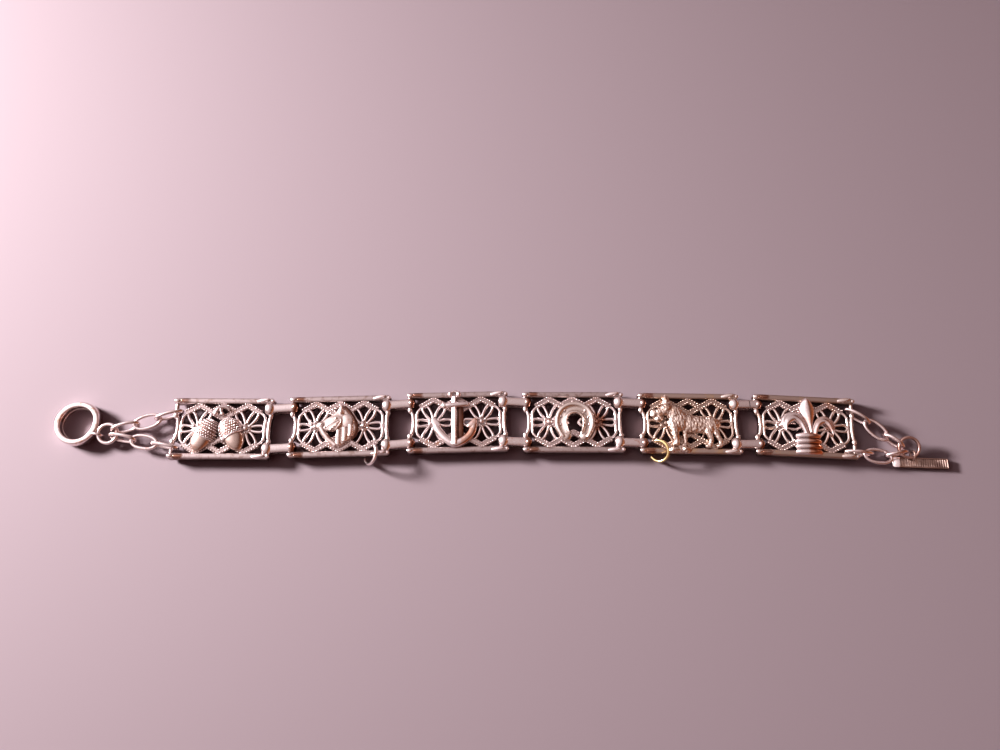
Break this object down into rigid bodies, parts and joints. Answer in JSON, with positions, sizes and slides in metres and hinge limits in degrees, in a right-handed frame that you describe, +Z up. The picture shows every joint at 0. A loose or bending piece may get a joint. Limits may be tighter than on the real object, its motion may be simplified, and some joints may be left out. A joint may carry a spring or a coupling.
{
  "type": "filigree link bracelet",
  "caption": "Silver-tone filigree link bracelet lying open, pierced panels with raised charm figures joined by band loops, with a spring ring clasp, short chains and a hang tag.",
  "frame": {"origin": "under the middle of the bracelet as it lies open, on the surface it rests on", "axes": "+X along the bracelet from the clasp to the hang tag, +Y across it towards the back rails, +Z up"},
  "size_m": [0.1864, 0.017, 0.0041],
  "materials": {
    "silver": "worn polished silver-tone plate, dark in the recesses",
    "worn_plate": "silver-tone plate worn through to warm base metal",
    "brass": "polished yellow brass"
  },
  "bodies": {
    "root": {"clasp_ring": "silver", "clasp_jump_ring": "silver", "left_chain_back_1": "silver", "left_chain_back_2": "silver", "left_chain_back_3": "silver", "left_chain_front_1": "silver", "left_chain_front_2": "silver", "left_chain_front_3": "silver", "panel_acorns": "silver", "panel_horse_head": "silver", "panel_anchor": "silver", "panel_horseshoe": "silver", "panel_dog": "worn_plate", "panel_fleur_de_lis": "worn_plate", "joint_loop_1_back": "silver", "joint_loop_1_front": "silver", "joint_loop_2_back": "silver", "joint_loop_2_front": "silver", "joint_loop_3_back": "silver", "joint_loop_3_front": "silver", "joint_loop_4_back": "silver", "joint_loop_4_front": "silver", "joint_loop_5_back": "silver", "joint_loop_5_front": "silver", "right_chain_back_1": "silver", "right_chain_back_2": "silver", "right_chain_back_3": "silver", "right_chain_front_1": "silver", "right_chain_front_2": "silver", "right_chain_front_3": "silver", "catch_ring": "silver", "hang_tag": "silver", "brass_jump_ring": "brass", "open_jump_ring": "silver"}
  },
  "joints": []
}
